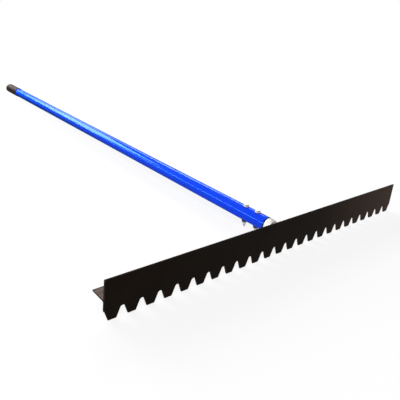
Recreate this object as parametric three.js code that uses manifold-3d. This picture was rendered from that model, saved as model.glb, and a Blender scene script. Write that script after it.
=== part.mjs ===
// Lute rake for asphalt and gravel: a T-section head with a row of teeth along one edge, a cast handle socket
// that straddles the head's fin, a round tube handle bolted over the socket's spigot, and a closed-end grip.
// Millimetres, +Z up. X runs along the head and Y back along the handle. The tooth tips stand at Z = 0, and
// X = 0, Y = 0 is the middle of the whole tool.
import * as THREE from 'three';
import { mergeVertices } from 'three/addons/utils/BufferGeometryUtils.js';
import Module from 'manifold-3d';

const wasm = await Module();
wasm.setup();

// Whole tool
const overallLength = 1694;
const seatGap = 0.3;
const toolOverrun = 6;

// Head: one T-section bar, its lower edge punched into teeth
const headLength = 910;
const headDepth = 38.1;
const bladeHeight = 79;
const bladeThickness = 3.2;
const finThickness = 3.2;
const finFillet = 3;
const edgeRadius = 0.8;
const toothCount = 24;
const toothPitch = 38.1;
const toothDepth = 20.6;
const toothTipWidth = 15.2;
const gulletRadius = 5;

// Handle: a drawn round tube with two bolt holes and a small drain hole
const tubeDiameter = 34.9;
const tubeWall = 1.65;
const tubeSetback = 57.5;
const tubeEndChamfer = 0.4;
const tubeBoltSetback = 34.5;
const tubeBoltSpacing = 37.5;
const drainHoleDiameter = 5;
const drainHoleSetback = 349.5;

// Grip: a dipped cap with a rounded closed end
const gripLength = 117;
const gripWall = 1.3;
const gripEndWall = 4;
const gripEndRadius = 8;
const gripMouthRound = 0.5;

// Socket: a casting with a forked foot, a collar as thick as the handle and a hollow spigot
const footWidth = 104;
const footStraight = 24;
const footCornerRadius = 8;
const footEdgeBevel = 1;
const footStandoff = 0.8;
const jawThickness = 6;
const webLength = 19;
const spineFrontRadius = 6.5;
const collarShoulder = 6;
const collarLength = 11;
const spigotLength = 98;
const spigotChamfer = 1.5;
const spigotBoreDiameter = 18;
const spigotBoreCone = 5;
const footBoltInset = 15;

// Fasteners: hexagon bolts, flat washers and lock nuts with a nylon ring
const tubeFastener = {
  shank: 6.35,
  acrossFlats: 11.1,
  headHeight: 4.2,
  nutHeight: 7.9,
  washerDiameter: 14.3,
  washerThickness: 1.3,
  stub: 7,
};
const footFastener = {
  shank: 7.94,
  acrossFlats: 12.7,
  headHeight: 5.3,
  nutHeight: 8.7,
  washerDiameter: 17.5,
  washerThickness: 1.6,
  stub: 2.5,
};
const nutCollarShare = 0.27;
const nutRingShare = 0.24;
const nutRingWallShare = 0.065;
const hexChamferAngle = Math.PI / 6;

// Facets of a full turn, and of each rounded corner of an extruded outline
const roundFacets = 64;
const holeFacets = 24;
const cornerFacets = 2;
const gulletFacets = 6;
const flankFacets = 5;

// Levels and places that the sizes above give. Along Y they are counted from the blade's face.
const finLevel = bladeHeight / 2;
const tubeRadius = tubeDiameter / 2;
const slotHeight = finThickness + 2 * seatGap;
const footThickness = slotHeight + 2 * jawThickness;
const footFront = bladeThickness + finFillet + footStandoff;
const slotEnd = headDepth + seatGap;
const collarRear = tubeSetback - seatGap;
const collarFront = collarRear - collarLength;
const shoulderFront = collarFront - collarShoulder;
const spigotRadius = tubeRadius - tubeWall - seatGap;
const spigotRear = tubeSetback + spigotLength;
const footBoltSetback = (footFront + headDepth) / 2;
const footBoltSpacing = footWidth - 2 * footBoltInset;
const tubeRear = overallLength - gripEndWall - seatGap;
const gripRadius = tubeRadius + seatGap + gripWall;
const tubeBoltPlaces = {
  front: tubeSetback + tubeBoltSetback,
  rear: tubeSetback + tubeBoltSetback + tubeBoltSpacing,
};

const xAxis = new THREE.Vector3(1, 0, 0);
const yAxis = new THREE.Vector3(0, 1, 0);
const zAxis = new THREE.Vector3(0, 0, 1);

function finish(name, color, roughness, metalness) {
  return new THREE.MeshStandardMaterial({ name, color, roughness, metalness });
}

const blackCoat = finish('black_coat', 0x1b1613, 0.55, 0);
const blueCoat = finish('blue_coat', 0x0d3fd2, 0.25, 0);
const castAluminium = finish('cast_aluminium', 0xc9c6bf, 0.35, 1);
const zincPlate = finish('zinc_plate', 0xd6d8da, 0.3, 1);
const blackVinyl = finish('black_vinyl', 0x2a2523, 0.6, 0);
const nylon = finish('nylon', 0xe6e4dc, 0.5, 0);

// A closed geometry as a solid that can be joined and cut
function solidOf(geometry) {
  const bare = geometry.clone();
  bare.deleteAttribute('normal');
  bare.deleteAttribute('uv');
  const merged = mergeVertices(bare);
  return new wasm.Manifold(new wasm.Mesh({
    numProp: 3,
    vertProperties: new Float32Array(merged.attributes.position.array),
    triVerts: new Uint32Array(merged.index.array),
  }));
}

// A finished solid as a named mesh
function meshOf(name, solid, material) {
  const { vertProperties, triVerts } = solid.getMesh();
  const geometry = new THREE.BufferGeometry();
  geometry.setAttribute('position', new THREE.BufferAttribute(new Float32Array(vertProperties), 3));
  geometry.setIndex(new THREE.BufferAttribute(new Uint32Array(triVerts), 1));
  geometry.computeVertexNormals();
  const mesh = new THREE.Mesh(geometry, material);
  mesh.name = name;
  return mesh;
}

// A solid turned about the handle's axis. The outline's points are [radius, place along Y].
function turned(outline, facets = roundFacets) {
  const points = outline.map(([radius, place]) => new THREE.Vector2(radius, place));
  return solidOf(new THREE.LatheGeometry(points, facets));
}

// A solid turned about an upright axis. The outline's points are [radius, height].
function turnedUpright(outline, facets = holeFacets) {
  const points = outline.map(([radius, height]) => new THREE.Vector2(radius, height));
  return solidOf(new THREE.LatheGeometry(points, facets).rotateX(Math.PI / 2));
}

// An upright round drill from one height to another
function drill(diameter, x, y, bottom, top) {
  const rod = new THREE.CylinderGeometry(diameter / 2, diameter / 2, top - bottom, holeFacets);
  return solidOf(rod.rotateX(Math.PI / 2).translate(x, y, (top + bottom) / 2));
}

// The T-section: blade upright, fin level, rounded rolled edges and a fillet on each side of the fin's root
function headSection() {
  const finBottom = finLevel - finThickness / 2;
  const finTop = finLevel + finThickness / 2;
  const filletEnd = bladeThickness + finFillet;
  const section = new THREE.Shape();
  section.moveTo(edgeRadius, 0);
  section.absarc(bladeThickness - edgeRadius, edgeRadius, edgeRadius, -Math.PI / 2, 0);
  section.absarc(filletEnd, finBottom - finFillet, finFillet, Math.PI, Math.PI / 2, true);
  section.absarc(headDepth - edgeRadius, finBottom + edgeRadius, edgeRadius, -Math.PI / 2, 0);
  section.absarc(headDepth - edgeRadius, finTop - edgeRadius, edgeRadius, 0, Math.PI / 2);
  section.absarc(filletEnd, finTop + finFillet, finFillet, -Math.PI / 2, Math.PI, true);
  section.absarc(bladeThickness - edgeRadius, bladeHeight - edgeRadius, edgeRadius, 0, Math.PI / 2);
  section.absarc(edgeRadius, bladeHeight - edgeRadius, edgeRadius, Math.PI / 2, Math.PI);
  section.absarc(edgeRadius, edgeRadius, edgeRadius, Math.PI, Math.PI * 3 / 2);
  return section;
}

// One gap between teeth: straight flanks that run into a round crest
function gulletOutline() {
  const halfGap = (toothPitch - toothTipWidth) / 2;
  const crestCentre = toothDepth - gulletRadius;
  const toCorner = Math.atan2(-crestCentre, halfGap);
  const tangentAngle = toCorner + Math.acos(gulletRadius / Math.hypot(halfGap, crestCentre));
  const outline = new THREE.Shape();
  outline.moveTo(-halfGap, -toolOverrun);
  outline.lineTo(halfGap, -toolOverrun);
  outline.lineTo(halfGap, 0);
  outline.absarc(0, crestCentre, gulletRadius, tangentAngle, Math.PI - tangentAngle);
  outline.lineTo(-halfGap, 0);
  return outline;
}

function toothedHead() {
  const bar = new THREE.ExtrudeGeometry(headSection(), {
    depth: headLength,
    curveSegments: cornerFacets,
    bevelEnabled: false,
  });
  bar.applyMatrix4(new THREE.Matrix4().makeBasis(yAxis, zAxis, xAxis));
  bar.translate(-headLength / 2, 0, 0);
  const punch = new THREE.ExtrudeGeometry(gulletOutline(), {
    depth: bladeThickness + 2 * toolOverrun,
    curveSegments: gulletFacets,
    bevelEnabled: false,
  });
  punch.applyMatrix4(new THREE.Matrix4().makeBasis(xAxis, zAxis, yAxis.clone().negate()));
  punch.translate(0, bladeThickness + toolOverrun, 0);
  const gullet = solidOf(punch);
  let head = solidOf(bar);
  for (let gap = 0; gap <= toothCount; gap += 1) {
    head = head.subtract(gullet.translate([(gap - toothCount / 2) * toothPitch, 0, 0]));
  }
  const hole = footFastener.shank + 2 * seatGap;
  for (const side of [-1, 1]) {
    const x = side * footBoltSpacing / 2;
    head = head.subtract(drill(hole, x, footBoltSetback, finLevel - toolOverrun, finLevel + toolOverrun));
  }
  return head;
}

// The foot seen from above: square to the blade in front, drawn in by hollow flanks to the collar's width
function footOutline() {
  const half = footWidth / 2;
  const straightEnd = footFront + footStraight;
  const corner = footCornerRadius;
  const webEnd = straightEnd + webLength;
  const webHalf = Math.sqrt(tubeRadius ** 2 - (footThickness / 2) ** 2);
  const outline = new THREE.Shape();
  outline.moveTo(-half + corner, footFront);
  outline.absarc(half - corner, footFront + corner, corner, -Math.PI / 2, 0);
  outline.absarc(half - corner, straightEnd - corner / 2, corner, 0, Math.PI / 2);
  outline.quadraticCurveTo(webHalf, straightEnd + corner / 2, webHalf, webEnd);
  outline.lineTo(-webHalf, webEnd);
  outline.quadraticCurveTo(-webHalf, straightEnd + corner / 2, -half + corner, straightEnd + corner / 2);
  outline.absarc(-half + corner, straightEnd - corner / 2, corner, Math.PI / 2, Math.PI);
  outline.absarc(-half + corner, footFront + corner, corner, Math.PI, Math.PI * 3 / 2);
  return outline;
}

// The round part of the casting: a spine that thickens backwards, a shoulder, the collar and the bored spigot
function socketRound() {
  const shoulderFacets = 8;
  const boreRadius = spigotBoreDiameter / 2;
  const outline = [[0, footFront], [spineFrontRadius, footFront]];
  for (let step = 0; step <= shoulderFacets; step += 1) {
    const angle = step / shoulderFacets * Math.PI / 2;
    outline.push([
      tubeRadius - collarShoulder + collarShoulder * Math.sin(angle),
      collarFront - collarShoulder * Math.cos(angle),
    ]);
  }
  outline.push([tubeRadius, collarRear]);
  outline.push([spigotRadius, collarRear]);
  outline.push([spigotRadius, spigotRear - spigotChamfer]);
  outline.push([spigotRadius - spigotChamfer, spigotRear]);
  outline.push([boreRadius, spigotRear]);
  outline.push([boreRadius, collarRear + spigotBoreCone]);
  outline.push([0, collarRear]);
  return turned(outline).translate([0, 0, finLevel]);
}

function handleSocket() {
  const foot = new THREE.ExtrudeGeometry(footOutline(), {
    depth: footThickness - 2 * footEdgeBevel,
    curveSegments: flankFacets,
    bevelThickness: footEdgeBevel,
    bevelSize: footEdgeBevel,
    bevelOffset: -footEdgeBevel,
    bevelSegments: 2,
  });
  foot.translate(0, 0, finLevel - footThickness / 2 + footEdgeBevel);
  const slotDepth = slotEnd - footFront + toolOverrun;
  const slot = new THREE.BoxGeometry(footWidth + 2 * toolOverrun, slotDepth, slotHeight);
  slot.translate(0, slotEnd - slotDepth / 2, finLevel);
  let socket = solidOf(foot).add(socketRound()).subtract(solidOf(slot));
  const reach = footThickness / 2 + toolOverrun;
  const footHole = footFastener.shank + 2 * seatGap;
  for (const side of [-1, 1]) {
    const x = side * footBoltSpacing / 2;
    socket = socket.subtract(drill(footHole, x, footBoltSetback, finLevel - reach, finLevel + reach));
  }
  const tubeHole = tubeFastener.shank + 2 * seatGap;
  for (const place of Object.values(tubeBoltPlaces)) {
    socket = socket.subtract(drill(tubeHole, 0, place, finLevel - tubeRadius, finLevel + tubeRadius));
  }
  return socket;
}

function handleTube() {
  const inner = tubeRadius - tubeWall;
  const chamfer = tubeEndChamfer;
  let tube = turned([
    [inner, tubeSetback],
    [tubeRadius - chamfer, tubeSetback],
    [tubeRadius, tubeSetback + chamfer],
    [tubeRadius, tubeRear - chamfer],
    [tubeRadius - chamfer, tubeRear],
    [inner, tubeRear],
    [inner, tubeSetback],
  ]).translate([0, 0, finLevel]);
  const reach = tubeRadius + toolOverrun;
  const hole = tubeFastener.shank + 2 * seatGap;
  for (const place of Object.values(tubeBoltPlaces)) {
    tube = tube.subtract(drill(hole, 0, place, finLevel - reach, finLevel + reach));
  }
  const drainPlace = tubeSetback + drainHoleSetback;
  return tube.subtract(drill(drainHoleDiameter, 0, drainPlace, finLevel, finLevel + reach));
}

function grip() {
  const inner = tubeRadius + seatGap;
  const mouth = overallLength - gripLength;
  const endFacets = 8;
  const outline = [
    [inner, mouth],
    [gripRadius - gripMouthRound, mouth],
    [gripRadius, mouth + gripMouthRound],
  ];
  for (let step = 0; step <= endFacets; step += 1) {
    const angle = step / endFacets * Math.PI / 2;
    outline.push([
      gripRadius - gripEndRadius + gripEndRadius * Math.cos(angle),
      overallLength - gripEndRadius + gripEndRadius * Math.sin(angle),
    ]);
  }
  outline.push([0, overallLength]);
  outline.push([0, overallLength - gripEndWall]);
  outline.push([inner, overallLength - gripEndWall]);
  outline.push([inner, mouth]);
  return turned(outline).translate([0, 0, finLevel]);
}

// A hexagon prism on height 0 with its corners turned off at the top, and at the foot too where both is set
function hexagon(acrossFlats, height, both) {
  const corner = acrossFlats / 2 / Math.cos(Math.PI / 6);
  const outline = new THREE.Shape();
  for (let side = 0; side < 6; side += 1) {
    const angle = (side + 0.5) * Math.PI / 3;
    const point = [corner * Math.cos(angle), corner * Math.sin(angle)];
    if (side === 0) {
      outline.moveTo(...point);
    } else {
      outline.lineTo(...point);
    }
  }
  const prism = new THREE.ExtrudeGeometry(outline, { depth: height, bevelEnabled: false });
  const flat = acrossFlats / 2 - seatGap;
  const drop = (corner - flat) * Math.tan(hexChamferAngle);
  const foot = both ? [[0, 0], [flat, 0], [corner, drop]] : [[0, 0], [corner, 0]];
  const top = [[corner, height - drop], [flat, height], [0, height]];
  return solidOf(prism).intersect(turnedUpright([...foot, ...top]));
}

// A bolt whose head seats at height 0 and whose shank hangs down from it
function bolt(size, grasp) {
  const length = grasp + size.nutHeight + size.stub;
  const radius = size.shank / 2;
  const point = radius / 4;
  const shank = turnedUpright([
    [0, -length],
    [radius - point, -length],
    [radius, -length + point],
    [radius, size.headHeight / 2],
    [0, size.headHeight / 2],
  ]);
  return hexagon(size.acrossFlats, size.headHeight, false).add(shank);
}

// A flat washer lying on height 0
function washer(size) {
  const inner = size.shank / 2 + seatGap;
  const outer = size.washerDiameter / 2;
  const height = size.washerThickness;
  return turnedUpright([[inner, 0], [outer, 0], [outer, height], [inner, height], [inner, 0]]);
}

// The nylon ring's room in a lock nut, as [inner radius, outer radius, bottom, top]
function ringRoom(size) {
  const inner = size.shank / 2 + seatGap;
  const outer = inner + size.acrossFlats * nutRingWallShare;
  const top = size.nutHeight;
  return [inner, outer, top - size.nutHeight * nutRingShare, top];
}

// A lock nut that seats at height 0: a hexagon, a round collar above it, and a counterbore for the nylon ring
function lockNut(size) {
  const [inner, outer, ringBottom, top] = ringRoom(size);
  const collarHeight = size.nutHeight * nutCollarShare;
  const collarRadius = size.acrossFlats / 2 - seatGap;
  const body = hexagon(size.acrossFlats, size.nutHeight - collarHeight, true);
  const collar = turnedUpright([
    [0, 0],
    [collarRadius, 0],
    [collarRadius, top - collarHeight / 3],
    [collarRadius - collarHeight / 3, top],
    [0, top],
  ]);
  const bore = drill(2 * inner, 0, 0, -toolOverrun, top + toolOverrun);
  const counterbore = drill(2 * (outer + seatGap), 0, 0, ringBottom - seatGap, top + toolOverrun);
  return body.add(collar).subtract(bore).subtract(counterbore);
}

// The nylon ring of a lock nut, in its place in the nut
function lockRing(size) {
  const [inner, outer, bottom, top] = ringRoom(size);
  return turnedUpright([[inner, bottom], [outer, bottom], [outer, top], [inner, top], [inner, bottom]]);
}

// One bolted joint through faces at two heights: bolt from above, washers on both faces, lock nut below
function fastenerSet(name, size, x, y, lower, upper) {
  const set = new THREE.Group();
  set.position.set(x, y, 0);
  const upperWasher = upper + seatGap;
  const headSeat = upperWasher + size.washerThickness + seatGap;
  const lowerWasher = lower - seatGap - size.washerThickness;
  const nutSeat = lowerWasher - seatGap;
  const pieces = [
    meshOf(`${name}_bolt`, bolt(size, headSeat - nutSeat), zincPlate),
    meshOf(`${name}_upper_washer`, washer(size), zincPlate),
    meshOf(`${name}_lower_washer`, washer(size), zincPlate),
    meshOf(`${name}_lock_nut`, lockNut(size), zincPlate),
    meshOf(`${name}_lock_ring`, lockRing(size), nylon),
  ];
  const heights = [headSeat, upperWasher, lowerWasher, nutSeat, nutSeat];
  pieces.forEach((piece, index) => {
    piece.position.z = heights[index];
    piece.rotation.x = index > 2 ? Math.PI : 0;
    set.add(piece);
  });
  return set;
}

const rake = new THREE.Group();
rake.position.y = -overallLength / 2;
rake.add(meshOf('toothed_head', toothedHead(), blackCoat));
rake.add(meshOf('handle_socket', handleSocket(), castAluminium));
rake.add(meshOf('handle_tube', handleTube(), blueCoat));
rake.add(meshOf('grip_cap', grip(), blackVinyl));
for (const [name, place] of Object.entries(tubeBoltPlaces)) {
  rake.add(fastenerSet(`tube_${name}`, tubeFastener, 0, place, finLevel - tubeRadius, finLevel + tubeRadius));
}
for (const [name, side] of [['left', -1], ['right', 1]]) {
  const x = side * footBoltSpacing / 2;
  const lower = finLevel - footThickness / 2;
  const upper = finLevel + footThickness / 2;
  rake.add(fastenerSet(`foot_${name}`, footFastener, x, footBoltSetback, lower, upper));
}

export default rake;
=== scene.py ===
import math

import bmesh
import bpy
from mathutils import Euler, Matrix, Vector


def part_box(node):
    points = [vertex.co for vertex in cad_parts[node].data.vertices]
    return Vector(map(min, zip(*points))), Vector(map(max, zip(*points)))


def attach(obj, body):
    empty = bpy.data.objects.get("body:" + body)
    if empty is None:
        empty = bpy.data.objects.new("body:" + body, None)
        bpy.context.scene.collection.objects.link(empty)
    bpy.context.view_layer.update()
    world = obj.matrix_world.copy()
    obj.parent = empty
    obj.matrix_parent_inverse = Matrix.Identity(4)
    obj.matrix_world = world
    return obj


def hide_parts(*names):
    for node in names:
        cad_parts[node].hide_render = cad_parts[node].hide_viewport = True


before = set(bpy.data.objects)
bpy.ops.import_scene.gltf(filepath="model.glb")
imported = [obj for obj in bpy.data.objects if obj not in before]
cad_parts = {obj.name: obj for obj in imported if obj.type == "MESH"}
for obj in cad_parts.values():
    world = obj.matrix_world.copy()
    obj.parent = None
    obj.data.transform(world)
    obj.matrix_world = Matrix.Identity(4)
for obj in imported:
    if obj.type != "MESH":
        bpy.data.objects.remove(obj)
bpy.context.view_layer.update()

# Camera: it stands 0.8 m from the head's left end, half a metre up, and looks back along the handle with a
# slight roll. The lens axis is a little above the picture's middle, as in a cropped photograph.
camera_data = bpy.data.cameras.new("camera")
camera_data.sensor_width = 36
camera_data.lens = 42.55
camera_data.shift_y = -0.10
camera_data.clip_start = 0.01
camera_data.clip_end = 50
camera_turns = (71.698, -5.616, -40.348)
camera = bpy.data.objects.new("camera", camera_data)
camera.location = (-0.78914, -1.40697, 0.50299)
camera.rotation_euler = Euler([math.radians(turn) for turn in camera_turns])
bpy.context.scene.collection.objects.link(camera)
bpy.context.scene.camera = camera
bpy.context.scene.view_settings.view_transform = "Standard"


# Toothed head: a steel bar rolled to a T, with its blade upright and its fin level at half height. Gullets
# are punched out of the lower edge to leave the teeth, and the whole bar has a thin brown-black coat. Dust
# with a painted sheen pales the fin, and a painted sheen pales the blade's face towards its right end.
MM = 0.001
head_low, head_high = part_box("toothed_head")
blade_thickness = 3.2 * MM
fin_thickness = 3.2 * MM
root_fillet = 3 * MM
rolled_edge = 0.8 * MM
tooth_count = 24
tooth_pitch = 38.1 * MM
tooth_depth = 20.6 * MM
tooth_tip = 15.2 * MM
gullet_radius = 5 * MM
punch_burr = 0.25 * MM
sliver = 0.002 * MM
foot_bolt_hole = 8.54 * MM
overrun = 6 * MM
fin_level = head_high.z / 2


def middle(node):
    """The middle of a CAD piece's box."""
    low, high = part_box(node)
    return (low + high) / 2


foot_bolt_places = [middle(f"foot_{side}_bolt").x for side in ("left", "right")]
foot_bolt_line = middle("foot_left_bolt").y


def arc(across, up, radius, first, last, steps=6):
    """Points of an arc in a flat outline, from one angle in degrees to another."""
    angles = [math.radians(first + (last - first) * step / steps) for step in range(steps + 1)]
    return [(across + radius * math.cos(angle), up + radius * math.sin(angle)) for angle in angles]


def drawn_out(outline, start, end):
    """A closed solid: the flat outline carried from one place to another by two functions of its points."""
    solid = bmesh.new()
    first = [solid.verts.new(start(*point)) for point in outline]
    last = [solid.verts.new(end(*point)) for point in outline]
    solid.faces.new(first)
    solid.faces.new(list(reversed(last)))
    for index, corner in enumerate(first):
        before = index - 1
        solid.faces.new((first[before], last[before], last[index], corner))
    bmesh.ops.recalc_face_normals(solid, faces=solid.faces)
    return solid


def turned(outline, place, facets=64):
    """A closed solid turned from an outline of (radius, distance along the axis). Place gives the real
    point for a radius, an angle and a distance. Facets start half a facet off the axes, so that no cut runs
    along an edge."""
    solid = bmesh.new()
    rings = []
    for radius, along in outline:
        if radius == 0:
            rings.append([solid.verts.new(place(0, 0, along))])
        else:
            turns = [2 * math.pi * (facet + 0.5) / facets for facet in range(facets)]
            rings.append([solid.verts.new(place(radius, turn, along)) for turn in turns])
    for ring, following in zip(rings, rings[1:]):
        for facet in range(facets):
            before = facet - 1
            if len(ring) == 1 and len(following) > 1:
                solid.faces.new((ring[0], following[before], following[facet]))
            elif len(following) == 1 and len(ring) > 1:
                solid.faces.new((ring[before], ring[facet], following[0]))
            elif len(ring) > 1:
                solid.faces.new((ring[before], ring[facet], following[facet], following[before]))
    bmesh.ops.remove_doubles(solid, verts=solid.verts, dist=1e-7)
    bmesh.ops.recalc_face_normals(solid, faces=solid.faces)
    return solid


def upright(x, y, z=0.0):
    """Place for turned(): the axis stands upright at x, y, and distances are counted from height z."""
    return lambda radius, turn, along: (x + radius * math.cos(turn), y + radius * math.sin(turn), z + along)


def piece_of(name, *solids):
    """One object made of the given closed solids."""
    mesh = bpy.data.meshes.new(name)
    whole = bmesh.new()
    for solid in solids:
        solid.to_mesh(mesh)
        whole.from_mesh(mesh)
        solid.free()
    whole.to_mesh(mesh)
    whole.free()
    piece = bpy.data.objects.new(name, mesh)
    bpy.context.scene.collection.objects.link(piece)
    return piece


def settled(piece):
    """The piece with its modifiers worked into its mesh."""
    graph = bpy.context.evaluated_depsgraph_get()
    mesh = bpy.data.meshes.new_from_object(piece.evaluated_get(graph))
    piece.modifiers.clear()
    piece.data = mesh
    return piece


def worked(piece, tool, operation):
    """The piece after a tool is joined to it or cut from it, cleaned of slivers. The tool is used up."""
    step = piece.modifiers.new("work", "BOOLEAN")
    step.operation = operation
    step.solver = "EXACT"
    step.object = tool
    settled(piece)
    bpy.data.objects.remove(tool)
    solid = bmesh.new()
    solid.from_mesh(piece.data)
    bmesh.ops.remove_doubles(solid, verts=solid.verts, dist=sliver)
    bmesh.ops.dissolve_degenerate(solid, edges=solid.edges, dist=sliver)
    solid.to_mesh(piece.data)
    solid.free()
    return piece


def softened(piece, width, angle=40, segments=2):
    """The piece with its sharp edges rounded over."""
    step = piece.modifiers.new("edges", "BEVEL")
    step.width = width
    step.segments = segments
    step.limit_method = "ANGLE"
    step.angle_limit = math.radians(angle)
    return settled(piece)


def smooth(piece, angle=35):
    """The piece with smooth shading that breaks at edges sharper than the angle. Flat faces stay flat."""
    piece.data.shade_smooth()
    piece.data.set_sharp_from_angle(angle=math.radians(angle))
    step = piece.modifiers.new("flats", "WEIGHTED_NORMAL")
    step.keep_sharp = True
    return settled(piece)


def head_section():
    """The T-section, as (distance behind the blade's face, height)."""
    fin_bottom = fin_level - fin_thickness / 2
    fin_top = fin_level + fin_thickness / 2
    depth = head_high.y - head_low.y
    height = head_high.z
    edge = rolled_edge
    behind = blade_thickness + root_fillet
    return (
        arc(blade_thickness - edge, edge, edge, -90, 0)
        + arc(behind, fin_bottom - root_fillet, root_fillet, 180, 90)
        + arc(depth - edge, fin_bottom + edge, edge, -90, 0)
        + arc(depth - edge, fin_top - edge, edge, 0, 90)
        + arc(behind, fin_top + root_fillet, root_fillet, -90, -180)
        + arc(blade_thickness - edge, height - edge, edge, 0, 90)
        + arc(edge, height - edge, edge, 90, 180)
        + arc(edge, edge, edge, 180, 270)
    )


def gullet_section():
    """One punched gap: straight flanks that run into a round crest."""
    half = (tooth_pitch - tooth_tip) / 2
    crest = tooth_depth - gullet_radius
    tangent = math.degrees(math.atan2(-crest, half) + math.acos(gullet_radius / math.hypot(half, crest)))
    foot = [(-half, 0), (-half, -overrun), (half, -overrun), (half, 0)]
    return foot + arc(0, crest, gullet_radius, tangent, 180 - tangent, 16)


def gullet_punch(x):
    """The punch of one gullet, from before the blade to behind it."""
    front = head_low.y - overrun
    back = head_low.y + blade_thickness + overrun
    return drawn_out(
        gullet_section(),
        lambda across, up: (x + across, front, up),
        lambda across, up: (x + across, back, up),
    )


head = piece_of("head_bar", drawn_out(
    head_section(),
    lambda back, up: (head_low.x, head_low.y + back, up),
    lambda back, up: (head_high.x, head_low.y + back, up),
))
punches = [gullet_punch((gap - tooth_count / 2) * tooth_pitch) for gap in range(tooth_count + 1)]
worked(head, piece_of("punches", *punches), "DIFFERENCE")
drills = [
    turned([(0, -overrun), (foot_bolt_hole / 2, -overrun), (foot_bolt_hole / 2, overrun), (0, overrun)],
           upright(x, foot_bolt_line, fin_level), 32)
    for x in foot_bolt_places
]
worked(head, piece_of("drills", *drills), "DIFFERENCE")
smooth(softened(head, punch_burr))


class Finish:
    """A procedural material on a piece's own coordinates in metres."""

    def __init__(self, name, colour, roughness, metallic=0.0, gloss=0.5):
        self.material = bpy.data.materials.new(name)
        self.material.use_nodes = True
        self.nodes = self.material.node_tree.nodes
        self.links = self.material.node_tree.links
        self.shader = self.nodes["Principled BSDF"]
        self.shader.inputs["Base Color"].default_value = (*colour, 1)
        self.shader.inputs["Roughness"].default_value = roughness
        self.shader.inputs["Metallic"].default_value = metallic
        self.shader.inputs["Specular IOR Level"].default_value = gloss
        self.place = self.nodes.new("ShaderNodeTexCoord").outputs["Object"]
        self.bump_below = None

    def stretched(self, along):
        """The coordinates pressed together or drawn out along each axis."""
        node = self.nodes.new("ShaderNodeMapping")
        node.inputs["Scale"].default_value = along
        self.links.new(self.place, node.inputs["Vector"])
        return node.outputs["Vector"]

    def noise(self, size, detail=3.0, along=(1, 1, 1), rough=0.55):
        """Cloudy grain whose patches are about one size across."""
        node = self.nodes.new("ShaderNodeTexNoise")
        node.inputs["Scale"].default_value = 1 / size
        node.inputs["Detail"].default_value = detail
        node.inputs["Roughness"].default_value = rough
        self.links.new(self.stretched(along), node.inputs["Vector"])
        return node.outputs["Fac"]

    def spread(self, value, low, high, to_low=0.0, to_high=1.0):
        """A value's range from low to high, carried to another range and held there."""
        node = self.nodes.new("ShaderNodeMapRange")
        node.inputs["From Min"].default_value = low
        node.inputs["From Max"].default_value = high
        node.inputs["To Min"].default_value = to_low
        node.inputs["To Max"].default_value = to_high
        self.links.new(value, node.inputs["Value"])
        return node.outputs["Result"]

    def both(self, first, second):
        """The product of two values."""
        node = self.nodes.new("ShaderNodeMath")
        node.operation = "MULTIPLY"
        self.links.new(first, node.inputs[0])
        self.links.new(second, node.inputs[1])
        return node.outputs["Value"]

    def edges(self, width, low, high):
        """1 at the piece's outer edges and 0 on its faces: how far a rounded normal leaves the true one."""
        rounded = self.nodes.new("ShaderNodeBevel")
        rounded.samples = 6
        rounded.inputs["Radius"].default_value = width
        true = self.nodes.new("ShaderNodeNewGeometry")
        node = self.nodes.new("ShaderNodeVectorMath")
        node.operation = "DOT_PRODUCT"
        self.links.new(rounded.outputs["Normal"], node.inputs[0])
        self.links.new(true.outputs["Normal"], node.inputs[1])
        return self.spread(node.outputs["Value"], high, low)

    def facing(self, axis, low, high):
        """How far a face looks along one axis, 0 to 1."""
        true = self.nodes.new("ShaderNodeNewGeometry")
        node = self.nodes.new("ShaderNodeSeparateXYZ")
        self.links.new(true.outputs["Normal"], node.inputs["Vector"])
        return self.spread(node.outputs[axis], low, high)

    def lying(self, axis, low, high):
        """How far a point lies along one axis of the piece, 0 to 1 between two places."""
        node = self.nodes.new("ShaderNodeSeparateXYZ")
        self.links.new(self.place, node.inputs["Vector"])
        return self.spread(node.outputs[axis], low, high)

    def beside(self, x, y, near, far):
        """How near a point lies to an upright line, 1 within one distance and 0 beyond another."""
        node = self.nodes.new("ShaderNodeVectorMath")
        node.operation = "DISTANCE"
        self.links.new(self.stretched((1, 1, 0)), node.inputs[0])
        node.inputs[1].default_value = (x, y, 0)
        return self.spread(node.outputs["Value"], far, near)

    def layer(self, share, colour):
        """Another colour over what is there, where the share is high."""
        node = self.nodes.new("ShaderNodeMix")
        node.data_type = "RGBA"
        below = self.shader.inputs["Base Color"]
        if below.is_linked:
            self.links.new(below.links[0].from_socket, node.inputs["A"])
        else:
            node.inputs["A"].default_value = below.default_value
        node.inputs["B"].default_value = (*colour, 1)
        self.links.new(share, node.inputs["Factor"])
        self.links.new(node.outputs["Result"], below)
        return self

    def rubbed(self, share, low, high):
        """Roughness that follows a share."""
        self.links.new(self.spread(share, 0, 1, low, high), self.shader.inputs["Roughness"])
        return self

    def relief(self, height, depth, strength=1.0):
        """Small relief of that depth, on top of any that is there."""
        node = self.nodes.new("ShaderNodeBump")
        node.inputs["Strength"].default_value = strength
        node.inputs["Distance"].default_value = depth
        self.links.new(height, node.inputs["Height"])
        if self.bump_below is not None:
            self.links.new(self.bump_below, node.inputs["Normal"])
        self.bump_below = node.outputs["Normal"]
        self.links.new(self.bump_below, self.shader.inputs["Normal"])
        return self


def fitted(piece, finish, cad_node):
    """The piece with its finish, in the place of its CAD node and riding with it."""
    piece.data.materials.clear()
    piece.data.materials.append(finish.material)
    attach(piece, "root")
    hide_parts(cad_node)


coat_black = (0.0088, 0.0058, 0.0038)
coat_clouded = (0.0105, 0.0072, 0.005)
coat_painted_sheen = (0.053, 0.0315, 0.0235)
coat_dust_and_sheen = (0.221, 0.157, 0.134)
coat_worn = (0.12, 0.1, 0.09)
sheen_start, sheen_end = 0.11, 0.47
dust_and_sheen_gone, dust_and_sheen_full = 0.07, 0.06

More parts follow.
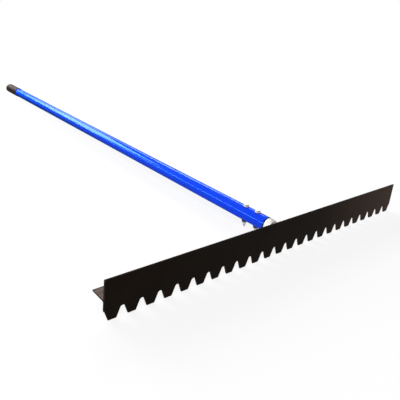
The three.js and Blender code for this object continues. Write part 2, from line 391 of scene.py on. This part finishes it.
head_coat = Finish("head_coat", coat_black, 0.4, gloss=0.015)
rolling = head_coat.noise(6 * MM, 4, along=(0.03, 1, 1))
clouds = head_coat.noise(60 * MM, 4)
head_coat.layer(head_coat.spread(clouds, 0.45, 0.75), coat_clouded)
# Painted sheen: the blade's face is paled towards its right end.
head_coat.layer(head_coat.both(
    head_coat.lying("X", sheen_start, sheen_end),
    head_coat.facing("Y", 0.2, -0.6),
), coat_painted_sheen)
# Dust with a painted sheen: upward faces low on the bar, the fin's top, are paled in rolled streaks.
head_coat.layer(head_coat.both(
    head_coat.both(head_coat.facing("Z", 0.6, 0.95), head_coat.lying("Z", dust_and_sheen_gone, dust_and_sheen_full)),
    head_coat.spread(rolling, 0.35, 0.65, 0.3, 0.95),
), coat_dust_and_sheen)
head_coat.layer(head_coat.both(
    head_coat.edges(1.2 * MM, 0.93, 0.99),
    head_coat.spread(head_coat.noise(9 * MM, 5), 0.42, 0.62, 0.1, 0.8),
), coat_worn)
head_coat.rubbed(rolling, 0.36, 0.52)
head_coat.relief(head_coat.noise(0.9 * MM, 4), 0.05 * MM, 0.5)
head_coat.relief(rolling, 0.08 * MM, 0.3)
fitted(head, head_coat, "toothed_head")


# Handle socket: one aluminium casting, with a forked foot that straddles the fin, a spine that grows into a
# collar as thick as the handle, and a bored spigot. The spigot, slot and bolt holes are machined after
# casting.
foot_width = 104 * MM
foot_front = 7 * MM
foot_thickness = 15.8 * MM
foot_straight = 24 * MM
foot_corner = 8 * MM
flank_steps = 12
web_length = 19 * MM
slot_height = 3.8 * MM
slot_end = 38.4 * MM
spine_front_radius = 6.5 * MM
tube_low, tube_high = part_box("handle_tube")
tube_wall = 1.65 * MM
seat_gap = 0.3 * MM
collar_radius = (tube_high.x - tube_low.x) / 2
collar_front = 46.2 * MM
collar_rear = 57.2 * MM
collar_shoulder = 6 * MM
spigot_radius = collar_radius - tube_wall - seat_gap
spigot_rear = 155.5 * MM
spigot_chamfer = 1.5 * MM
spigot_bore = 9 * MM
spigot_bore_cone = 5 * MM
tube_bolt_hole = 6.95 * MM
tube_bolt_places = {end: middle(f"tube_{end}_bolt").y for end in ("front", "rear")}
casting_grain = 0.9 * MM
casting_passes = 8
casting_faces_kept = 0.3


def lengthwise(y):
    """Place for turned(): the axis is the handle's, and distances are counted back from y."""
    return lambda radius, turn, along: (
        radius * math.sin(turn),
        y + along,
        fin_level + radius * math.cos(turn),
    )


def foot_section():
    """The foot seen from above: square in front, drawn in by hollow flanks to the collar's width."""
    half = foot_width / 2
    straight_end = foot_front + foot_straight
    corner = foot_corner
    web_end = straight_end + web_length
    web_half = math.sqrt(collar_radius ** 2 - (foot_thickness / 2) ** 2)
    near, far = straight_end + corner / 2, half - corner
    flank = []
    for step in range(1, flank_steps + 1):
        share = step / flank_steps
        bend = (1 - share) ** 2, 2 * share * (1 - share), share ** 2
        flank.append((
            bend[0] * far + bend[1] * web_half + bend[2] * web_half,
            bend[0] * near + bend[1] * near + bend[2] * web_end,
        ))
    right = (
        arc(far, foot_front + corner, corner, -90, 0, 8)
        + arc(far, straight_end - corner / 2, corner, 0, 90, 8)
        + flank
    )
    return right + [(-x, y) for x, y in reversed(right)]


def spine_outline():
    """The spine and collar, as (radius, distance behind the blade's face)."""
    shoulder = arc(collar_front, collar_radius - collar_shoulder, collar_shoulder, 180, 90, 8)
    return (
        [(0, foot_front), (spine_front_radius, foot_front)]
        + [(radius, along) for along, radius in shoulder]
        + [(collar_radius, collar_rear), (0, collar_rear)]
    )


socket = piece_of("socket_casting", drawn_out(
    foot_section(),
    lambda x, back: (x, head_low.y + back, fin_level - foot_thickness / 2),
    lambda x, back: (x, head_low.y + back, fin_level + foot_thickness / 2),
))
worked(socket, piece_of("spine", turned(spine_outline(), lengthwise(head_low.y))), "UNION")
step = socket.modifiers.new("grain", "REMESH")
step.mode = "VOXEL"
step.voxel_size = casting_grain
step = socket.modifiers.new("cast_radii", "SMOOTH")
step.factor = 0.5
step.iterations = casting_passes
step = socket.modifiers.new("flats", "DECIMATE")
step.decimate_type = "COLLAPSE"
step.ratio = casting_faces_kept
settled(socket)
worked(socket, piece_of("spigot", turned([
    (0, collar_rear - collar_shoulder),
    (spigot_radius, collar_rear - collar_shoulder),
    (spigot_radius, spigot_rear - spigot_chamfer),
    (spigot_radius - spigot_chamfer, spigot_rear),
    (0, spigot_rear),
], lengthwise(head_low.y), 96)), "UNION")
bore = turned([
    (0, collar_rear),
    (spigot_bore, collar_rear + spigot_bore_cone),
    (spigot_bore, spigot_rear + overrun),
    (0, spigot_rear + overrun),
], lengthwise(head_low.y))
worked(socket, piece_of("bore", bore), "DIFFERENCE")
slot = drawn_out(
    [(foot_front - overrun, -slot_height / 2), (slot_end, -slot_height / 2),
     (slot_end, slot_height / 2), (foot_front - overrun, slot_height / 2)],
    lambda back, up: (-foot_width, head_low.y + back, fin_level + up),
    lambda back, up: (foot_width, head_low.y + back, fin_level + up),
)
worked(socket, piece_of("slot", slot), "DIFFERENCE")
drills = [
    turned([(0, -foot_width), (radius, -foot_width), (radius, foot_width), (0, foot_width)],
           upright(x, y, fin_level), 32)
    for radius, x, y in
    [(foot_bolt_hole / 2, x, foot_bolt_line) for x in foot_bolt_places]
    + [(tube_bolt_hole / 2, 0, y) for y in tube_bolt_places.values()]
]
worked(socket, piece_of("drills", *drills), "DIFFERENCE")
smooth(socket, 40)

cast_bright = (0.74, 0.71, 0.66)
cast_clouded = (0.62, 0.6, 0.57)
cast_tumbled_edge = (0.84, 0.82, 0.79)
cast_painted_dark_reflection = (0.24, 0.23, 0.21)

socket_cast = Finish("cast_aluminium", cast_bright, 0.42, metallic=0.6)
cast_skin = socket_cast.noise(1.1 * MM, 3)
socket_cast.layer(socket_cast.spread(socket_cast.noise(14 * MM, 4), 0.4, 0.7, 0.0, 0.7), cast_clouded)
socket_cast.layer(socket_cast.edges(1.5 * MM, 0.9, 0.99), cast_tumbled_edge)
# Painted dark reflection: faces that look straight up, such as the collar's top, are darkened in patches.
socket_cast.layer(socket_cast.both(
    socket_cast.facing("Z", 0.9, 1.0),
    socket_cast.spread(cast_skin, 0.35, 0.6, 0.6, 0.9),
), cast_painted_dark_reflection)
socket_cast.rubbed(cast_skin, 0.3, 0.55)
socket_cast.relief(cast_skin, 0.12 * MM, 0.5)
fitted(socket, socket_cast, "handle_socket")


# Hexagon bolts, flat washers and lock nuts, zinc plated: two bolts clamp the foot on the fin, and two hold
# the tube on the spigot. Each goes in from above, and a nylon ring in its nut grips the thread below, where
# splashes have dulled the nuts. The lower washers are painted near-black as shade, and the tube's nuts
# carry painted shade at their tops.
foot_fastener = {
    "shank": 7.94 * MM, "pitch": 1.41 * MM, "thread": 22 * MM, "flats": 12.7 * MM, "head": 5.3 * MM,
    "nut": 8.7 * MM, "washer": 17.5 * MM, "washer_thickness": 1.6 * MM, "stub": 2.5 * MM,
}
tube_fastener = {
    "shank": 6.35 * MM, "pitch": 1.27 * MM, "thread": 19 * MM, "flats": 11.1 * MM, "head": 4.2 * MM,
    "nut": 7.9 * MM, "washer": 14.3 * MM, "washer_thickness": 1.3 * MM, "stub": 7 * MM,
}
hexagon_chamfer = math.tan(math.radians(30))
washer_rounding = 0.25 * MM
rows_per_turn, thread_facets = 8, 32
thread_depth_share = 0.6
thread_flank, thread_crest = 1.3, 0.15
bolt_end_share = 0.75
nut_collar_share = 0.27
ring_seat_share = 0.76
ring_wall_share = 0.065


def hexagon_solid(size, bottom, top, place, chamfered_foot):
    """A hexagon bar between two heights, whose corners are turned off by a cone."""
    flat = size["flats"] / 2
    corner = flat / math.cos(math.radians(30))
    wide, narrow = corner + seat_gap, flat - 2 * seat_gap
    drop, past = (wide - flat + seat_gap) * hexagon_chamfer, seat_gap * hexagon_chamfer
    sides = [(corner * math.cos(turn), corner * math.sin(turn))
             for turn in [math.radians(30 + 60 * side) for side in range(6)]]
    bar = piece_of("hexagon", drawn_out(
        sides,
        lambda across, along: place(math.hypot(across, along), math.atan2(along, across), bottom),
        lambda across, along: place(math.hypot(across, along), math.atan2(along, across), top),
    ))
    foot = [(0, bottom - past), (narrow, bottom - past), (wide, bottom + drop)]
    outline = (foot if chamfered_foot else [(0, bottom - past), (wide, bottom - past)]) + [
        (wide, top - drop), (narrow, top + past), (0, top + past)]
    return worked(bar, piece_of("cone", turned(outline, place, 96)), "INTERSECT")


def shank_solid(size, length, place):
    """A bolt's shank, plain above and with a rolled thread below, counted down from the head's seat."""
    major = size["shank"] / 2
    thread_depth = thread_depth_share * size["pitch"]
    thread_top = length - size["thread"]
    solid = bmesh.new()
    count = int(rows_per_turn * size["thread"] / size["pitch"])
    rows = [(-size["head"] / 2, False), (thread_top, False)] + [
        (thread_top + (index + 1) * size["pitch"] / rows_per_turn, True) for index in range(count)]
    rings = []
    for along, threaded in rows:
        ring = []
        for facet in range(thread_facets):
            turn = 2 * math.pi * (facet + 0.5) / thread_facets
            radius = major
            if threaded:
                phase = (along / size["pitch"] - facet / thread_facets) % 1
                ridge = abs(2 * phase - 1)
                radius -= thread_depth * min(1, max(0, thread_flank * ridge - thread_crest))
            radius = min(radius, length - along + major * bolt_end_share)
            ring.append(solid.verts.new(place(radius, turn, -along)))
        rings.append(ring)
    for ring, following in zip(rings, rings[1:]):
        for facet in range(thread_facets):
            before = facet - 1
            solid.faces.new((ring[before], ring[facet], following[facet], following[before]))
    solid.faces.new(rings[0])
    solid.faces.new(list(reversed(rings[-1])))
    bmesh.ops.recalc_face_normals(solid, faces=solid.faces)
    return solid


def washer_solid(size, bottom, place):
    """A flat washer, its edges rounded by the punch."""
    inner = size["shank"] / 2 + seat_gap
    outer = size["washer"] / 2
    top = bottom + size["washer_thickness"]
    edge = washer_rounding
    outline = (
        arc(inner + edge, bottom + edge, edge, 180, 270, 3)
        + arc(outer - edge, bottom + edge, edge, -90, 0, 3)
        + arc(outer - edge, top - edge, edge, 0, 90, 3)
        + arc(inner + edge, top - edge, edge, 90, 180, 3)
    )
    return turned(outline + outline[:1], place, 48)


def nut_solid(size, place):
    """A lock nut: a hexagon with a round collar whose lip is rolled in over the nylon ring."""
    inner = size["shank"] / 2 + seat_gap
    collar_height = nut_collar_share * size["nut"]
    collar = size["flats"] / 2 - 2 * seat_gap
    ring_room = inner + ring_wall_share * size["flats"] + seat_gap
    ring_bottom = size["nut"] * ring_seat_share - seat_gap
    top = size["nut"]
    nut = hexagon_solid(size, 0, top - collar_height, place, True)
    collar_outline = [(0, size["nut"] / 4), (collar, size["nut"] / 4)] + [
        (across, up) for across, up in arc(collar - collar_height / 2, top - collar_height / 2,
                                           collar_height / 2, 0, 90, 5)] + [(0, top)]
    worked(nut, piece_of("collar", turned(collar_outline, place, 64)), "UNION")
    hollow = turned([
        (0, -overrun), (inner, -overrun), (inner, ring_bottom), (ring_room, ring_bottom),
        (ring_room, top + overrun), (0, top + overrun),
    ], place, 48)
    return worked(nut, piece_of("hollow", hollow), "DIFFERENCE")


def ring_solid(size, place):
    """The nylon ring of a lock nut, a little domed where it shows."""
    inner = size["shank"] / 2 + seat_gap
    outer = inner + ring_wall_share * size["flats"]
    bottom, top = ring_seat_share * size["nut"], size["nut"]
    dome = (outer - inner) / 2
    outline = [(inner, bottom), (outer, bottom)] + arc((inner + outer) / 2, top - dome, dome, 0, 180, 6)
    return turned(outline + outline[:1], place, 48)


plate_bright = (0.74, 0.72, 0.68)
plate_clouded = (0.6, 0.59, 0.55)
plate_dull = (0.74, 0.73, 0.7)
plate_dull_clouded = (0.55, 0.54, 0.5)
plate_painted_shade = (0.03, 0.03, 0.04)
washer_painted_shade = (0.02, 0.02, 0.026)
washer_painted_shade_mottled = (0.08, 0.08, 0.085)
nylon_white = (0.72, 0.7, 0.64)
nylon_stained = (0.55, 0.53, 0.48)
nut_shade_start, nut_shade_full = 16 * MM, 18.5 * MM
behind_foot = -0.8, -0.79

zinc = Finish("zinc_plate", plate_bright, 0.34, metallic=0.3)
zinc_cloud = zinc.noise(3 * MM, 4)
zinc.layer(zinc.spread(zinc_cloud, 0.4, 0.7, 0.0, 0.8), plate_clouded)
zinc.rubbed(zinc_cloud, 0.28, 0.42)
zinc.relief(zinc.noise(0.5 * MM, 2), 0.02 * MM, 0.25)
dull_zinc = Finish("zinc_plate_dulled", plate_dull, 0.4, metallic=0.75)
dull_cloud = dull_zinc.noise(3 * MM, 4)
dull_zinc.layer(dull_zinc.spread(dull_cloud, 0.4, 0.7), plate_dull_clouded)
# Painted shade: the tube's nuts darken at their tops, next to the washers under the tube.
dull_zinc.layer(dull_zinc.both(
    dull_zinc.lying("Z", nut_shade_start, nut_shade_full),
    dull_zinc.lying("Y", *behind_foot),
), plate_painted_shade)
dull_zinc.rubbed(dull_cloud, 0.35, 0.5)
dull_zinc.relief(dull_zinc.noise(0.5 * MM, 2), 0.03 * MM, 0.4)
# Painted shade: the lower washers are near-black, with slightly paler patches.
zinc_painted_shade = Finish("zinc_plate_painted_shade", washer_painted_shade, 0.55, metallic=0.6)
zinc_painted_shade.layer(zinc_painted_shade.spread(zinc_painted_shade.noise(3 * MM, 4), 0.5, 0.75), washer_painted_shade_mottled)
zinc_painted_shade.relief(zinc_painted_shade.noise(0.5 * MM, 2), 0.03 * MM, 0.4)
nylon = Finish("nylon", nylon_white, 0.45)
nylon.layer(nylon.spread(nylon.noise(1.5 * MM, 3), 0.4, 0.7, 0.0, 0.5), nylon_stained)
nylon.relief(nylon.noise(0.4 * MM, 2), 0.02 * MM, 0.4)

finishes = {
    "bolt": zinc,
    "upper_washer": zinc,
    "lower_washer": zinc_painted_shade,
    "lock_nut": dull_zinc,
    "lock_ring": nylon,
}


def fasten(name, size, x, y, lower, upper):
    """One bolted joint through faces at two heights, as five pieces in the place of the CAD ones."""
    head_seat = upper + 2 * seat_gap + size["washer_thickness"]
    nut_seat = lower - 2 * seat_gap - size["washer_thickness"]
    above = upright(x, y, head_seat)

    def below(radius, turn, along):
        return (x + radius * math.cos(turn), y + radius * math.sin(turn), nut_seat - along)

    length = head_seat - nut_seat + size["nut"] + size["stub"]
    bolt = hexagon_solid(size, 0, size["head"], above, False)
    worked(bolt, piece_of("shank", shank_solid(size, length, above)), "UNION")
    made = {
        "bolt": bolt,
        "upper_washer": piece_of("washer", washer_solid(size, upper + seat_gap, upright(x, y))),
        "lower_washer": piece_of("washer", washer_solid(
            size, lower - seat_gap - size["washer_thickness"], upright(x, y))),
        "lock_nut": nut_solid(size, below),
        "lock_ring": piece_of("ring", ring_solid(size, below)),
    }
    for kind, piece in made.items():
        piece.name = f"{name}_{kind}_plated" if kind != "lock_ring" else f"{name}_nylon_ring"
        smooth(piece, 30)
        fitted(piece, finishes[kind], f"{name}_{kind}")


for side, x in zip(("left", "right"), foot_bolt_places):
    fasten(f"foot_{side}", foot_fastener, x, foot_bolt_line,
           fin_level - foot_thickness / 2, fin_level + foot_thickness / 2)
for end, y in tube_bolt_places.items():
    fasten(f"tube_{end}", tube_fastener, 0, y, fin_level - collar_radius, fin_level + collar_radius)


# Handle tube: a drawn aluminium tube, 1 3/8 in across, with a glossy blue coat that looks dark where it
# thins out over the edges, and that hands have dulled towards the grip. Its underside, its front end at the
# collar and a ring round the drain hole are darkened with painted shade. It is drilled through for the two
# bolts, and once on top for drainage.
tube_radius = collar_radius
tube_chamfer = 0.4 * MM
drain_radius = 2.5 * MM
drain_place = tube_low.y + 349.5 * MM
ring_margin = 7 * MM
end_margin = 1 * MM


def tube_outline():
    """The tube's wall, with a ring of edges on each side of every hole to keep the faces true there."""
    inner = tube_radius - tube_wall
    length = tube_high.y - tube_low.y
    places = sorted(
        y - tube_low.y + side * ring_margin
        for y in [*tube_bolt_places.values(), drain_place]
        for side in (-1, 1)
    )
    spans = [tube_chamfer + end_margin, *places, length - tube_chamfer - end_margin]
    return (
        [(inner, 0), (tube_radius - tube_chamfer, 0), (tube_radius, tube_chamfer)]
        + [(tube_radius, span) for span in spans]
        + [(tube_radius, length - tube_chamfer), (tube_radius - tube_chamfer, length), (inner, length)]
        + [(inner, span) for span in reversed(spans)]
        + [(inner, 0)]
    )


tube = piece_of("handle_tube_coated", turned(tube_outline(), lengthwise(tube_low.y), 128))
drills = [
    turned([(0, -collar_radius - overrun), (tube_bolt_hole / 2, -collar_radius - overrun),
            (tube_bolt_hole / 2, collar_radius + overrun), (0, collar_radius + overrun)],
           upright(0, y, fin_level), 32)
    for y in tube_bolt_places.values()
]
drills.append(turned([(0, 0), (drain_radius, 0), (drain_radius, collar_radius + overrun),
                      (0, collar_radius + overrun)], upright(0, drain_place, fin_level), 32))
worked(tube, piece_of("drills", *drills), "DIFFERENCE")
smooth(tube, 30)

blue = (0.001, 0.058, 0.84)
blue_clouded = (0.0015, 0.07, 0.76)
blue_deep = (0.0005, 0.032, 0.74)
blue_painted_underside_shade = (0.001, 0.012, 0.12)
blue_thin = (0.003, 0.012, 0.08)
blue_painted_end_shade = (0.002, 0.006, 0.06)
drain_painted_shade = (0.003, 0.006, 0.02)
blue_edge_tint = (0.03, 0.5, 0.75, 1)
deepening_start, deepening_end = -0.2, -0.75
handling_start, handling_end = 0.25, 0.62
end_shade_faded, end_shade_full = tube_low.y + 4 * MM, tube_low.y + 2 * MM
drain_shade_radius, drain_shade_edge_radius = 3.5 * MM, 5.5 * MM

blue_coat = Finish("blue_coat", blue, 0.16, metallic=0.4, gloss=0.0)
blue_coat.shader.inputs["Specular Tint"].default_value = blue_edge_tint
blue_coat.shader.inputs["Coat Roughness"].default_value = 0.06
orange_peel = blue_coat.noise(2.2 * MM, 2)
blue_coat.layer(blue_coat.spread(blue_coat.noise(45 * MM, 4, along=(1, 0.35, 1)), 0.42, 0.72, 0, 0.6),
                blue_clouded)
blue_coat.layer(blue_coat.spread(blue_coat.lying("Y", deepening_start, deepening_end), 0, 1, 0, 0.4),
                blue_deep)
# Painted shade: the tube's underside darkens to navy, most towards the grip, and its gloss coat thins there
# too.
painted_underside_shade = blue_coat.both(blue_coat.facing("Z", 0.5, -0.4), blue_coat.lying("Y", -1.1, 0.5))
blue_coat.layer(painted_underside_shade, blue_painted_underside_shade)
handled = blue_coat.lying("Y", handling_start, handling_end)
blue_coat.links.new(
    blue_coat.both(blue_coat.spread(painted_underside_shade, 0, 1, 0.2, 0.0), blue_coat.spread(handled, 0, 1, 1.0, 0.5)),
    blue_coat.shader.inputs["Coat Weight"],
)
blue_coat.layer(blue_coat.both(
    blue_coat.edges(0.8 * MM, 0.9, 0.99),
    blue_coat.spread(blue_coat.noise(2 * MM, 3), 0.25, 0.5),
), blue_thin)
# Painted shade: a dark navy band on the tube's last few millimetres, at the collar.
blue_coat.layer(blue_coat.lying("Y", end_shade_faded, end_shade_full), blue_painted_end_shade)
# Painted shade: a near-black ring round the drain hole's mouth on top of the tube.
blue_coat.layer(blue_coat.both(
    blue_coat.beside(0, drain_place, drain_shade_radius, drain_shade_edge_radius),
    blue_coat.facing("Z", 0.0, 0.5),
), drain_painted_shade)
blue_coat.rubbed(blue_coat.both(
    blue_coat.spread(handled, 0, 1, 0.15, 1.0),
    blue_coat.spread(blue_coat.noise(25 * MM, 5, along=(1, 0.2, 1)), 0.3, 0.7, 0.6, 1.0),
), 0.1, 0.34)
blue_coat.relief(orange_peel, 0.02 * MM, 0.25)
fitted(tube, blue_coat, "handle_tube")


# Grip: a cap of soft black vinyl, dipped and pulled over the tube's end. Its closed end is rounded, its
# mouth has a thin round lip, and the dipping leaves slow waves in the skin.
grip_low, grip_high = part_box("grip_cap")
grip_radius = (grip_high.x - grip_low.x) / 2
grip_bore = tube_radius + seat_gap
grip_end_radius = 8 * MM
grip_end_wall = 4 * MM
grip_lip = 0.5 * MM
dip_wave = 0.12 * MM
dip_pace, dip_drift, dip_drift_pace = 41, 3, 7
barrel_steps = 28


def grip_outline():
    """The cap's skin, as (radius, distance from its mouth)."""
    length = grip_high.y - grip_low.y
    barrel = []
    for share in [step / barrel_steps for step in range(barrel_steps + 1)]:
        wave = (1 + math.sin(dip_pace * share + dip_drift * math.sin(dip_drift_pace * share))) / 2
        barrel.append((grip_radius - dip_wave * wave,
                       grip_lip + share * (length - grip_lip - grip_end_radius)))
    barrel[0] = (grip_radius, barrel[0][1])
    end = [(grip_radius - grip_end_radius + across, up) for across, up in
           arc(0, length - grip_end_radius, grip_end_radius, 0, 90, 14)]
    return (
        [(grip_bore, 0)]
        + arc(grip_radius - grip_lip, grip_lip, grip_lip, -90, 0, 4)
        + barrel[1:-1]
        + end
        + [(0, length), (0, length - grip_end_wall), (grip_bore, length - grip_end_wall), (grip_bore, 0)]
    )


cap = piece_of("grip_cap_vinyl", turned(grip_outline(), lengthwise(grip_low.y), 96))
smooth(cap, 40)

vinyl_black = (0.006, 0.004, 0.0032)
vinyl_clouded = (0.01, 0.0082, 0.007)
vinyl_painted_highlight = (0.078, 0.058, 0.052)

vinyl = Finish("black_vinyl", vinyl_black, 0.36, gloss=0.01)
vinyl_cloud = vinyl.noise(18 * MM, 4)
vinyl.layer(vinyl.spread(vinyl_cloud, 0.42, 0.7, 0, 0.8), vinyl_clouded)
# Painted highlight: a mottled brown-grey band on the top and left side of the cap.
vinyl.layer(vinyl.both(
    vinyl.both(vinyl.facing("Z", 0.25, 0.8), vinyl.facing("X", 0.2, -0.4)),
    vinyl.spread(vinyl_cloud, 0.3, 0.7, 0.75, 1),
), vinyl_painted_highlight)
vinyl.rubbed(vinyl_cloud, 0.36, 0.52)
vinyl.relief(vinyl.noise(0.7 * MM, 3), 0.06 * MM, 0.5)
fitted(cap, vinyl, "grip_cap")


# Studio: a plain white floor under the teeth, a white surround, and a broad soft lamp above the left front.
# Four more stand behind the tool and draw light along the handle: a panel behind the grip, a weaker one
# beside it, a wide one nearer on the right, and a long strip at the far left.
under_tool = 1.0
far_from_tool = 2.6


def white_where_seen(material, light_socket, share=1.0):
    """Adds plain white for the camera and for mirror-like rays to a floor's or world's light: by that share
    under the tool, and wholly where the floor is far from it."""
    nodes, links = material.node_tree.nodes, material.node_tree.links
    path = nodes.new("ShaderNodeLightPath")
    seen = path.outputs["Is Camera Ray"]
    for kind in ("Is Glossy Ray", "Is Transmission Ray"):
        either = nodes.new("ShaderNodeMath")
        either.operation = "MAXIMUM"
        links.new(seen, either.inputs[0])
        links.new(path.outputs[kind], either.inputs[1])
        seen = either.outputs["Value"]
    part = nodes.new("ShaderNodeMath")
    part.operation = "MULTIPLY"
    links.new(seen, part.inputs[0])
    place = nodes.new("ShaderNodeTexCoord")
    distance = nodes.new("ShaderNodeVectorMath")
    distance.operation = "LENGTH"
    links.new(place.outputs["Object"], distance.inputs[0])
    growth = nodes.new("ShaderNodeMapRange")
    growth.inputs["From Min"].default_value = under_tool
    growth.inputs["From Max"].default_value = far_from_tool
    growth.inputs["To Min"].default_value = share
    links.new(distance.outputs["Value"], growth.inputs["Value"])
    links.new(growth.outputs["Result"], part.inputs[1])
    in_world = light_socket.node.type == "BACKGROUND"
    white = nodes.new("ShaderNodeBackground" if in_world else "ShaderNodeEmission")
    white.inputs["Color"].default_value = (1, 1, 1, 1)
    white.inputs["Strength"].default_value = 1.0
    mix = nodes.new("ShaderNodeMixShader")
    links.new(part.outputs["Value"], mix.inputs["Fac"])
    links.new(light_socket, mix.inputs[1])
    links.new(white.outputs[0], mix.inputs[2])
    return mix.outputs["Shader"]


surround_strength = 0.38
floor_white_share = 0.82
world = bpy.data.worlds.new("surround")
bpy.context.scene.world = world
world.use_nodes = True
surround = world.node_tree.nodes["Background"]
surround.inputs["Color"].default_value = (1, 1, 1, 1)
surround.inputs["Strength"].default_value = surround_strength
output = world.node_tree.nodes["World Output"]
world.node_tree.links.new(white_where_seen(world, surround.outputs["Background"]), output.inputs["Surface"])

floor_half = 6.0
floor_thickness = 10 * MM
floor = piece_of("floor", drawn_out(
    [(x * floor_half, y * floor_half) for x, y in ((-1, -1), (1, -1), (1, 1), (-1, 1))],
    lambda x, y: (x, y, -floor_thickness),
    lambda x, y: (x, y, 0),
))
floor_paint = bpy.data.materials.new("floor_paint")
floor_paint.use_nodes = True
board = floor_paint.node_tree.nodes["Principled BSDF"]
board.inputs["Base Color"].default_value = (0.9, 0.9, 0.9, 1)
board.inputs["Roughness"].default_value = 0.9
board.inputs["Specular IOR Level"].default_value = 0.0
output = floor_paint.node_tree.nodes["Material Output"]
floor_paint.node_tree.links.new(
    white_where_seen(floor_paint, board.outputs["BSDF"], floor_white_share), output.inputs["Surface"])
floor.data.materials.append(floor_paint)


def lamp(name, place, aim, width, length, power):
    """A soft rectangular lamp that looks from its place to its aim."""
    data = bpy.data.lights.new(name, "AREA")
    data.shape = "RECTANGLE"
    data.size = width
    data.size_y = length
    data.energy = power
    light = bpy.data.objects.new(name, data)
    light.location = place
    light.rotation_euler = (Vector(aim) - Vector(place)).to_track_quat("-Z", "Y").to_euler()
    bpy.context.scene.collection.objects.link(light)
    return light


lamp("key", (-1.8, -1.8, 2.6), (0, 0, 0), 2.0, 2.0, 42)
lamp("fill", (1.62, 1.82, 1.88), (0, -0.4, 0), 1.6, 0.8, 46)
lamp("pale_panel", (0.95, 3.2, 1.45), (0, 0, 0.04), 1.6, 1.3, 30)
lamp("back_panel", (-0.82, 3.2, 1.62), (0, 0, 0.04), 1.95, 1.4, 134)
lamp("side_strip", (-3.65, 3.2, 1.25), (0, -0.4, 0.04), 3.4, 0.3, 46)
